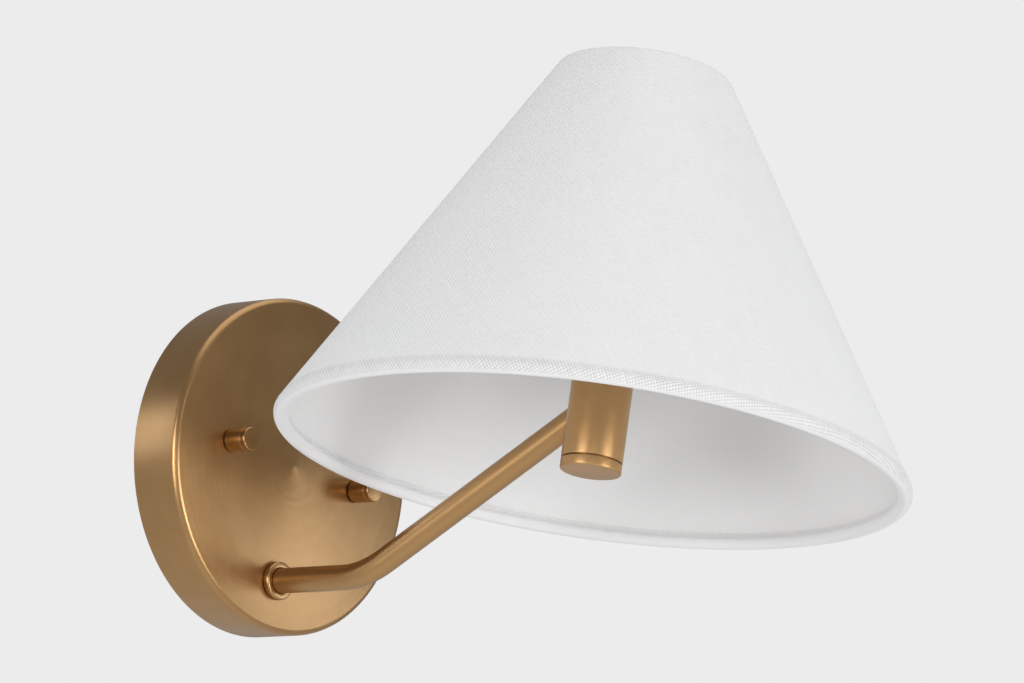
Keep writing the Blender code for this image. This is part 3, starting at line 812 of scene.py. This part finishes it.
def makeLampholder(setup):
    low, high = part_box("lampholder_body")
    floor, shoulder = low.z / mmToM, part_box("socket_barrel")[1].z / mmToM + 0.3
    top = high.z / mmToM
    outer, bore, cupFloor, stem, flange = 10.2, 6.95, 22.0, 9.8, 11.1
    outline = [(0, cupFloor, 0), (bore, cupFloor, 0.3), (bore, top, 0.4), (outer - 0.5, top, 0.2)]
    outline += threadOutline(outer, 0.35, setup["threadPitch"], top - 0.4, shoulder + 2.5)
    outline += [
        (flange, shoulder + 2.2, 0.3), (flange, shoulder, 0.3), (stem, shoulder, 0.1), (stem, floor, 0.5),
        (0, floor, 0),
    ]
    spunPiece(
        "lampholderBody", outline, lampPlace, upwards, blackMoulding, "swing_arm",
        ("lampholder_body",), steps=64, closed=False,
    )
    shellLow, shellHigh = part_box("screw_shell")
    thread = rolledThread(
        setup["shellRadius"], setup["shellDepth"], setup["shellTurns"],
        shellHigh.z / mmToM, (shellHigh.z - shellLow.z) / mmToM,
    )
    inner = [(radius - setup["shellWall"], height, 0) for radius, height, _ in reversed(thread)]
    spunPiece(
        "screwShell", thread + inner, lampPlace, upwards, nickelShell, "swing_arm",
        ("screw_shell",), steps=64, sharp=60,
    )


def makeRetainingRing(setup):
    low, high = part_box("shade_retaining_ring")
    bottom, top = low.z / mmToM, high.z / mmToM
    inner, outer, flange = 10.6, 13.2, 14.2
    outline = [
        (inner, bottom, 0.2), (inner, top, 0.3), (outer, top, 0.6), (outer, bottom + 1.0, 0.3),
        (flange, bottom + 0.9, 0.2), (flange, bottom, 0.2),
    ]
    ring = spinShape(softOutline(outline, 4), lampPlace, upwards, setup["ribs"] * 4)
    pressRibs(
        ring, lampPlace.xy, setup["ribs"], setup["gripDepth"],
        lambda reach, height: outer - 0.7 < reach / mmToM < outer + 0.05 and height / mmToM > bottom + 1.3,
    )
    replaced = ("shade_retaining_ring",)
    finishPiece("shadeRetainingRing", ring, blackMoulding, "shade_ring", replaced, 40)


makeLampholder(lampholder)
makeRetainingRing(lampholder)


bulbShape = {
    "neck": 8.2,
    "belly": 17.2,
    "glass": 0.9,
    "widest": 76.0,  # height of the widest ring
    "shoulder": 0.9,  # lower is blunter at the tip
    "flare": 1.4,  # higher is slimmer above the neck
    "capRadius": 5.95,
    "capThread": 0.2,
    "capTurns": 6,
}


def bulbOutline(inset, setup, steps):
    low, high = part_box("bulb_glass")
    foot, tip, widest = low.z / mmToM, high.z / mmToM - inset, setup["widest"]
    neck, belly = setup["neck"] - inset, setup["belly"] - inset
    outline = []
    for step in range(steps, -1, -1):
        turn = math.pi / 2 * step / steps
        reach = belly * math.cos(turn) ** setup["shoulder"]
        outline.append((reach, widest + (tip - widest) * math.sin(turn), 0))
    outline[0] = (0, tip, 0)
    for step in range(steps - 1, -1, -1):
        share = step / steps
        reach = neck + (belly - neck) * math.sin(math.pi / 2 * share) ** setup["flare"]
        outline.append((reach, foot + (widest - foot) * share, 0))
    return outline


def makeBulb(setup):
    outside = bulbOutline(0.0, setup, 24)
    inside = list(reversed(bulbOutline(setup["glass"], setup, 24)))
    spunPiece(
        "bulbGlass", outside + inside, lampPlace, upwards, opal, "bulb", ("bulb_glass",),
        steps=72, closed=False,
    )
    low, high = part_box("bulb_cap")
    bottom, top = low.z / mmToM, high.z / mmToM
    outline = [(0, top, 0), (7.5, top, 0.3), (6.0, top - 1.4, 0.2)]
    outline += rolledThread(setup["capRadius"], setup["capThread"], setup["capTurns"], top - 2.0, 16.0)
    outline += [(5.2, bottom + 3.0, 0), (2.6, bottom + 1.3, 0), (1.8, bottom, 0.4), (0, bottom, 0)]
    spunPiece(
        "bulbCap", outline, lampPlace, upwards, nickelShell, "bulb", ("bulb_cap",), steps=64,
        closed=False, sharp=60,
    )


makeBulb(bulbShape)
print("lampholder and lamp made")


# The shade: linen wrapped on a stiff liner, with its edges rolled round two wire rings
coneShade = {
    "fabric": 0.9,
    "gap": 0.3,
    "bottomWire": bottomWireRadius,
    "topWire": topWireRadius,
    "bottomFlap": 3.4,  # how far the turned edge reaches from the wire's middle
    "topFlap": 5.0,
    "rollTurn": 216,  # degrees that the cloth goes round each wire
    "crease": 0.2,
    "creaseLift": 1.1,
    "creaseWidth": 0.8,
    "steps": 288,
    "rows": 40,
    "liner": 0.5,
    "linerGap": 0.45,
    "lap": 7.0,
    "lapRise": 0.32,
    "lapSink": 0.25,
    "lapRound": 0.22,
    "wander": ((0.05, 3, 0.7), (0.04, 7, 2.1), (0.03, 17, 0)),  # depth, waves round the cone, shift
}


def arcPoints(centre, radius, start, end, segments):
    points = []
    for step in range(segments + 1):
        turn = math.radians(start + (end - start) * step / segments)
        points.append((centre.x + radius * math.cos(turn), centre.y + radius * math.sin(turn), 0))
    return points


# How far up the cloth a point is from the bottom wire: along the cone, or round the roll and up inside
def clothRise(radius, height):
    along = shadeSlant.normalized()
    offset = Vector((radius, height)) / mmToM - shadeBottom
    rise, out = offset.dot(along), offset.dot(Vector((along.y, -along.x)))
    rollRadius = coneShade["bottomWire"] + coneShade["gap"] + coneShade["fabric"] / 2
    if rise >= 0 and out > 1.4:
        return rise * mmToM
    if rise >= 0:
        return -(math.pi * rollRadius + rise) * mmToM
    return -math.atan2(-rise, out) * rollRadius * mmToM


# Lays the flat cut's own coordinates over a turned cloth, so that the weave runs as on a real cone
def layCut(piece):
    mesh = piece.data
    fullness = math.sin(math.radians(shadeTilt))
    coneReach = shadeBottom.x * mmToM / fullness
    fromApex = []
    turns = []
    for vert in mesh.vertices:
        radius = math.hypot(vert.co.x, vert.co.y - lampOut)
        fromApex.append(coneReach - clothRise(radius, vert.co.z))
        turns.append(math.atan2(vert.co.x, lampOut - vert.co.y))
    layer = mesh.uv_layers.new(name="flatCut")
    for polygon in mesh.polygons:
        middleTurn = math.atan2(polygon.center.x, lampOut - polygon.center.y)
        for loopIndex in polygon.loop_indices:
            index = mesh.loops[loopIndex].vertex_index
            turn = turns[index]
            if turn - middleTurn > math.pi:
                turn -= math.tau
            if middleTurn - turn > math.pi:
                turn += math.tau
            reach = linenLook["uvScale"] * fromApex[index]
            layer.data[loopIndex].uv = (reach * math.sin(turn * fullness), reach * math.cos(turn * fullness))


def curvePoints(start, startWay, endWay, end, count):
    points = []
    for step in range(1, count + 1):
        share = step / count
        rest = 1 - share
        outer = start * rest**3 + end * share**3
        points.append(outer + (startWay * rest + endWay * share) * (3 * rest * share))
    return points


# One turned edge, round the wire and then a flap on the liner. way is 1 at the bottom and -1 at the top
def hemSkins(centre, bore, fabric, linerFace, reach, way):
    along = shadeSlant.normalized() * way
    outward = Vector((shadeSlant.y, -shadeSlant.x)).normalized()
    lastTurn = shadeTilt - way * coneShade["rollTurn"]
    last = math.radians(lastTurn)
    heading = Vector((math.sin(last), -math.cos(last))) * way
    skins = []
    for radius, lay in ((bore + fabric, linerFace - 0.28), (bore, linerFace + 0.04)):
        turn = arcPoints(centre, radius, shadeTilt, lastTurn, 26)
        start = Vector(turn[-1][:2])
        end = centre + along * (reach * 0.8) + outward * lay
        flap = curvePoints(start, start + heading * reach * 0.22, end - along * reach * 0.3, end, 10)
        flap.append(centre + along * reach + outward * lay)
        skins.append(turn + [(point.x, point.y, 0) for point in flap])
    return skins


def between(start, end, rows):
    return [
        (start[0] + (end[0] - start[0]) * row / rows, start[1] + (end[1] - start[1]) * row / rows, 0)
        for row in range(1, rows)
    ]


def makeFabric(setup):
    fabric = setup["fabric"]
    outerLow, innerLow = hemSkins(
        shadeBottom, setup["bottomWire"] + setup["gap"], fabric, setup["bottomWire"] - setup["liner"],
        setup["bottomFlap"], 1,
    )
    outerHigh, innerHigh = hemSkins(
        shadeTop, setup["topWire"] + setup["gap"], fabric, setup["topWire"] - setup["liner"],
        setup["topFlap"], -1,
    )
    outline = list(reversed(outerHigh)) + between(outerHigh[0], outerLow[0], setup["rows"]) + outerLow
    outline += list(reversed(innerLow)) + between(innerLow[0], innerHigh[0], 6) + innerHigh
    shape = spinShape(outline, lampPlace, upwards, setup["steps"])
    reach = setup["bottomWire"] + setup["gap"] + fabric
    crease = shadeBottom.y + reach * math.sin(math.radians(shadeTilt)) + setup["creaseLift"]
    for vert in shape.verts:  # a faint crease above the roll, and cloth that isn't quite true
        height = vert.co.z / mmToM
        arm = Vector((vert.co.x, vert.co.y - lampOut))
        turn = math.atan2(arm.y, arm.x)
        dip = setup["crease"] * math.exp(-(((height - crease) / setup["creaseWidth"]) ** 2))
        wander = sum(depth * math.sin(waves * turn + shift) for depth, waves, shift in setup["wander"])
        push = (wander - dip) * mmToM / max(arm.length, mmToM)
        slant = (shadeBottom.x - arm.length / mmToM) * shadeSlant.y + (height - shadeBottom.y) * shadeSlant.x
        if height < shadeTop.y - 4 and slant < 0:
            vert.co.x += arm.x * push
            vert.co.y += arm.y * push
    piece = finishPiece("shadeLinen", shape, linen, "swing_arm", ("shade_fabric",), 60)
    layCut(piece)
    return piece


# The lap where the cloth's two ends are glued one over the other, on the side towards the wall
def makeLap(setup):
    bottomReach = setup["bottomWire"] + setup["gap"] + setup["fabric"]
    topReach = setup["topWire"] + setup["gap"] + setup["fabric"]
    outward = Vector((math.cos(math.radians(shadeTilt)), math.sin(math.radians(shadeTilt))))
    low, high = shadeBottom + outward * bottomReach, shadeTop + outward * topReach
    shape = bmesh.new()
    bmesh.ops.create_grid(shape, x_segments=6, y_segments=60, size=1.0)
    bmesh.ops.solidify(shape, geom=shape.faces[:], thickness=0.2)
    depths = {round(vert.co.z, 4) for vert in shape.verts}
    middle = sum(depths) / len(depths)
    for vert in shape.verts:
        lift = -setup["lapSink"]
        if vert.co.z > middle:
            lift = setup["lapRise"] - setup["lapRound"] * abs(vert.co.x) ** 3
        point = low + (high - low) * (vert.co.y + 1) / 2 + outward * lift
        turn = math.pi / 2 + vert.co.x * setup["lap"] / 2 / point.x
        vert.co = Vector((
            point.x * math.cos(turn) * mmToM, lampOut + point.x * math.sin(turn) * mmToM, point.y * mmToM
        ))
    tidyShape(shape)
    piece = finishPiece("shadeLap", shape, linen, "swing_arm", (), 50)
    layCut(piece)
    return piece


def makeLiner(setup):
    along = shadeSlant.normalized()
    outward = Vector((along.y, -along.x))
    clear = setup["gap"] + setup["fabric"] + setup["linerGap"]
    start = shadeBottom + along * (setup["bottomWire"] + clear)
    end = shadeTop - along * (setup["topWire"] + clear)
    faceLow, faceHigh = setup["bottomWire"], setup["topWire"]
    corners = [
        end + outward * faceHigh, start + outward * faceLow,
        start + outward * (faceLow - setup["liner"]), end + outward * (faceHigh - setup["liner"]),
    ]
    shape = spinShape([(point.x, point.y) for point in corners], lampPlace, upwards, setup["steps"])
    finishPiece("shadeLiner", shape, liner, "swing_arm", ("shade_liner",), 40)


shadeCloth = makeFabric(coneShade)
shadeLap = makeLap(coneShade)
makeLiner(coneShade)
clothOut = coneShade["gap"] + coneShade["fabric"]
bottomHem, topHem = 0.011, 0.006  # cloth turned in at each edge
cutFullness = math.sin(math.radians(shadeTilt))
cutLong = (shadeBottom.x + bottomWireRadius + clothOut) * mmToM / cutFullness
cutShort = (shadeTop.x + topWireRadius + clothOut) * mmToM / cutFullness
hemAllowance = math.tau * mmToM * (shadeBottom.x * bottomHem + shadeTop.x * topHem)
cutArea = math.pi * cutFullness * (cutLong**2 - cutShort**2) + hemAllowance
2 * cutLong
cutLong + 0.008
print("shade wrapped")


# The three wire spokes and the ring that sits on the lampholder
spokeWire = {
    "angles": (-90.0, 30.0, 150.0),
    "radius": 1.1,
    "foot": 25.5,
    "bend": 6.0,
    "ringReach": 15.0,
}


def makeSpoke(number, angle, setup):
    level = boxMiddle("shade_carrier_ring").z / mmToM
    turn = Matrix.Translation(lampPlace) @ Matrix.Rotation(math.radians(angle), 4, "Z")
    start = setup["ringReach"] + 0.1
    corner = setup["foot"] - setup["bend"]
    top = Vector((shadeTop.x - 0.3, shadeTop.y - coneShade["topWire"] - 0.4))
    lean = math.atan2(setup["foot"] - top.x, top.y - level - setup["bend"])
    shape = bmesh.new()
    ring = bmesh.ops.create_circle(
        shape, cap_ends=True, segments=16, radius=setup["radius"] * mmToM,
        matrix=Matrix.Translation(Vector((start, 0, level)) * mmToM) @ Matrix.Rotation(math.pi / 2, 4, "Y"),
    )
    faces = list({face for vert in ring["verts"] for face in vert.link_faces})
    grown = bmesh.ops.extrude_face_region(shape, geom=faces)["geom"]
    bmesh.ops.translate(shape, verts=only("BMVert", grown), vec=((corner - start) * mmToM, 0, 0))
    bent = bmesh.ops.spin(
        shape, geom=only("BMFace", grown), axis=(0, 1, 0),
        cent=Vector((corner, 0, level + setup["bend"])) * mmToM,
        angle=-(math.pi / 2 + lean), steps=10, use_merge=False,
    )["geom_last"]
    verts = only("BMVert", bmesh.ops.extrude_face_region(shape, geom=only("BMFace", bent))["geom"])
    middle = sum((vert.co for vert in verts), Vector()) / len(verts)
    goal = Vector((top.x * mmToM, 0, top.y * mmToM))
    bmesh.ops.translate(shape, verts=verts, vec=goal - middle)
    bmesh.ops.transform(shape, matrix=turn, verts=shape.verts)
    tidyShape(shape)
    replaced = ("shade_spoke_" + str(number),)
    finishPiece("shadeSpoke" + str(number), shape, steelWire, "swing_arm", replaced)


for number, angle in enumerate(spokeWire["angles"], 1):
    makeSpoke(number, angle, spokeWire)


def flatRing(name, node, inner, outer, origin, axis, material, edge=0.2):
    bottom, top = sorted((corner - origin).dot(axis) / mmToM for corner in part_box(node))
    outline = [(inner, top, edge), (outer, top, edge), (outer, bottom, edge), (inner, bottom, edge)]
    spunPiece(name, outline, origin, axis, material, "swing_arm", (node,), segments=3)


flatRing(
    "shadeCarrierRing", "shade_carrier_ring", 10.6, spokeWire["ringReach"], lampPlace, upwards, steelPlate,
)
flatRing("thrustWasher", "thrust_washer", 3.8, 6.6, swingPlace, towardsRoom, nylonWasher)
print("shade frame made")


# What the canopy hides: crossbar, nuts, swivel stack, ground parts, leads and connectors
def makeNipple():
    low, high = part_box("arm_nipple")
    top, bottom = (canopyFront - low.y) / mmToM, (canopyFront - high.y) / mmToM
    outer, inner = 3.5, 2.6
    outline = threadOutline(outer, 0.3, 0.9, top - 0.3, bottom + 0.3)
    outline += [(outer - 0.5, bottom, 0), (inner, bottom, 0), (inner, top, 0), (outer - 0.5, top, 0)]
    spunPiece(
        "armNipple", outline, swingPlace, towardsRoom, steelWire, "swing_arm", ("arm_nipple",),
        steps=48, sharp=70,
    )


def makeConnector(side):
    node = "wire_connector_" + side
    middle, length, base = boxMiddle(node), boxSize(node).z / mmToM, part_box(node)[0].z
    outline = [
        (0, length, 0), (2.6, length, 1.0), (3.4, 4.2, 0.6), (4.4, 3.2, 0.3), (4.4, 0, 0.4),
        (1.4, 0, 0.3), (1.4, 2.0, 0), (0, 2.0, 0),
    ]
    shape = spinShape(softOutline(outline, 4, False), (middle.x, middle.y, base), upwards, 96, False)
    pressRibs(shape, middle.xy, 12, 0.10, lambda reach, height: reach > 0.002 and height > base + 0.005)
    name = "wireConnector" + side.title()
    finishPiece(name, shape, orangeMoulding, "swing_arm", (node,), 50)


def makeGroundScrew():
    radius, length, origin = turnedSize("ground_screw")
    head = length - 2.2
    outline = [(0, length, 0), (radius - 0.6, length, 0.3), (radius, head + 0.5, 0.2), (radius, head, 0.1)]
    outline += threadOutline(1.85, 0.25, 0.7, head - 0.1, 0.2)
    outline += [(1.4, 0, 0), (0, 0, 0)]
    spunPiece(
        "groundScrew", outline, origin, towardsRoom, greenScrew, "canopy", ("ground_screw",),
        steps=48, closed=False, sharp=50,
    )


makeNipple()
makeGroundScrew()
for side in ("left", "right"):
    makeConnector(side)
steelPieces = {
    "canopy": (
        "mounting_crossbar", "stud_lock_nut_left", "stud_lock_nut_right", "ground_lug", "collar_nut",
        "swing_stop_pin",
    ),
    "swing_arm": ("swing_stop_washer", "arm_lock_nut", "arm_jam_nut"),
}
for body, nodes in steelPieces.items():
    for node in nodes:
        words = node.title().replace("_", "")
        refinedCopy(words[0].lower() + words[1:], node, steelPlate, body)
refinedCopy("leadBlack", "lead_black", blackInsulation, "swing_arm", 0, 1)
refinedCopy("leadWhite", "lead_white", whiteInsulation, "swing_arm", 0, 1)
refinedCopy("groundWire", "ground_wire", copperWire, "canopy", 0, 1)
refinedCopy("waveWasher", "wave_washer", steelPlate, "swing_arm", 0)
for node, material in (
    ("bottom_wire_ring", steelWire), ("top_wire_ring", steelWire), ("barrel_tie_rod", steelWire),
    ("centre_contact", copperWire),
):
    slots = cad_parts[node].data.materials
    slots.clear()
    slots.append(material)
print("inner parts dressed")


# A plain pale studio: a floor, a light world and large soft lights
studio = {
    "backdrop": 0.8388,
    "worldLight": 0.278,
    "floorHeight": -1.45,
    "floorReach": 12.0,
    "floorShade": (0.88, 0.88, 0.88),
    "floorGlow": (0.26, 0.26, 0.26),  # out of the lights' reach, so it holds some light of its own
    "floorLook": (0.59, 0.59, 0.59),  # the same as the camera sees it, as pale as the backdrop
    "aim": Vector((0, -0.13, 0)),
    "lights": {  # place, size across and up, brightness, shade
        "overhead": ((0.0, -0.3, 1.6), (2.0, 2.0), 1.0, (1, 1, 1)),
        "front": ((-0.3, -1.9, 0.3), (0.9, 0.9), 1.75, (1, 1, 1)),
        "leftStrip": ((-1.4, -0.15, -0.20), (0.55, 0.6), 7.5, (1, 1, 1)),
        "frontStrip": ((0.12, -1.5, -0.22), (0.6, 0.5), 7.3, (1, 1, 1)),
        "fill": ((-1.42, -1.40, -0.20), (0.45, 0.45), 2.3, (1, 1, 1)),
        "rightSpot": ((0.81, -0.72, 0.03), (0.34, 0.34), 2.25, (0.93, 1.01, 1.16)),
        "wallSide": ((-0.95, 0.90, 0.20), (0.24, 0.5), 3.2, (0.93, 1.01, 1.16)),
    },
}


def makeStudio(setup):
    scene = bpy.context.scene
    scene.view_settings.view_transform = "Standard"
    world = bpy.data.worlds.new("studioWorld")
    scene.world = world
    world.use_nodes = True
    tree = world.node_tree
    tree.nodes.clear()
    mix = tree.nodes.new("ShaderNodeMixShader")
    path = tree.nodes.new("ShaderNodeLightPath")
    tree.links.new(path.outputs["Is Camera Ray"], mix.inputs[0])
    for place, strength in enumerate((setup["worldLight"], setup["backdrop"]), 1):
        glow = tree.nodes.new("ShaderNodeBackground")
        glow.inputs["Color"].default_value = (1, 1, 1, 1)
        glow.inputs["Strength"].default_value = strength
        tree.links.new(glow.outputs[0], mix.inputs[place])
    tree.links.new(mix.outputs[0], tree.nodes.new("ShaderNodeOutputWorld").inputs[0])

    shape = bmesh.new()
    bmesh.ops.create_grid(shape, x_segments=1, y_segments=1, size=setup["floorReach"])
    mesh = bpy.data.meshes.new("studioFloor")
    shape.to_mesh(mesh)
    shape.free()
    floor = addObject("studioFloor", mesh)
    floor.location.z = setup["floorHeight"]
    paint = Finish("studioPaint", Base_Color=setup["floorShade"], Roughness=0.9, Emission_Strength=1.0)
    seenByCamera = paint.add("ShaderNodeLightPath", {}, {}, "Is Camera Ray")
    paint.feed("Emission Color", paint.mixColour(seenByCamera, setup["floorGlow"], setup["floorLook"]))
    mesh.materials.append(paint.material)

    for name, (place, size, brightness, shade) in setup["lights"].items():
        lamp = bpy.data.lights.new(name + "Light", "AREA")
        lamp.shape = "RECTANGLE"
        lamp.size, lamp.size_y = size
        lamp.energy = brightness * math.pi * size[0] * size[1]
        lamp.color = shade
        holder = addObject(lamp.name, lamp)
        holder.location = place
        holder.visible_camera = False
        holder.rotation_mode = "QUATERNION"
        holder.rotation_quaternion = (setup["aim"] - Vector(place)).to_track_quat("-Z", "Y")


makeStudio(studio)
print("studio lit")
